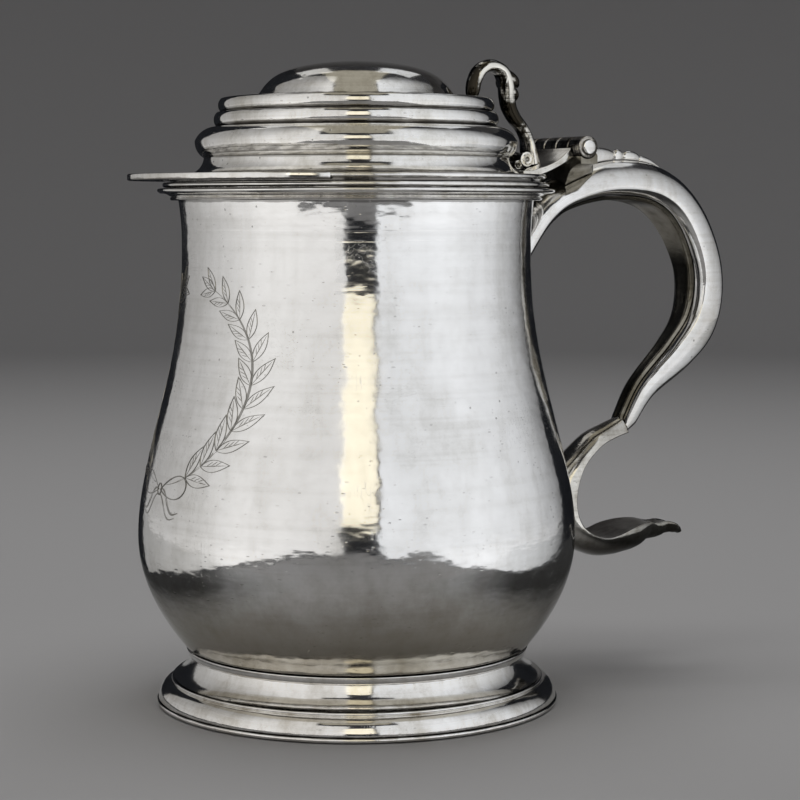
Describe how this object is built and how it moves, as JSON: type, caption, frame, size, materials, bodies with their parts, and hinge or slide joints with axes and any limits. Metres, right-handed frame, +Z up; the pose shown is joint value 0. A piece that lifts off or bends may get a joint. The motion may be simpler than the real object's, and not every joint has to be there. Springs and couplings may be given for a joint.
{
  "type": "lidded tankard",
  "caption": "Pear-shaped silver tankard with a stepped foot, a double-scroll handle and a hinged domed lid with a cast thumbpiece, for drinking.",
  "frame": {"origin": "centre of the overall box in X and Y, on the plane the foot stands on", "axes": "+X towards the handle, -X towards the lid's front lip, +Z up"},
  "size_m": [0.2128, 0.1398, 0.2045],
  "materials": {
    "vessel_silver": "polished sheet silver with fine scratches and small pits",
    "lid_silver": "polished sheet silver with fine scratches, darker in the steps",
    "handle_silver": "polished silver, dull and pitted on the inner strap",
    "hinge_silver": "worn silver with dark seams",
    "cast_silver": "cast silver with dark tarnish in the hollows"
  },
  "bodies": {
    "vessel": {"body": "vessel_silver", "rim_moulding": "vessel_silver", "foot_bead": "vessel_silver", "foot_collar": "vessel_silver", "foot_ring": "vessel_silver", "foot_wire": "vessel_silver", "handle_back": "handle_silver", "handle_face": "handle_silver", "lower_scroll": "handle_silver", "handle_terminal": "handle_silver", "handle_hinge_plate": "hinge_silver", "handle_knuckle_1": "hinge_silver", "handle_knuckle_2": "hinge_silver", "handle_knuckle_3": "hinge_silver", "hinge_pin": "hinge_silver", "handle_drop": "cast_silver"},
    "cover": {"lid": "lid_silver", "lid_rim_wire": "lid_silver", "lid_bezel": "lid_silver", "front_lip": "lid_silver", "thumbpiece": "cast_silver", "lid_hinge_plate": "hinge_silver", "lid_knuckle_1": "hinge_silver", "lid_knuckle_2": "hinge_silver"}
  },
  "joints": [
    {"name": "lid_hinge", "type": "hinge", "parent": "vessel", "child": "cover", "pos_m": [0.0427, 0, 0.177], "axis": [0, 1, 0], "range_deg": [0, 105]}
  ]
}
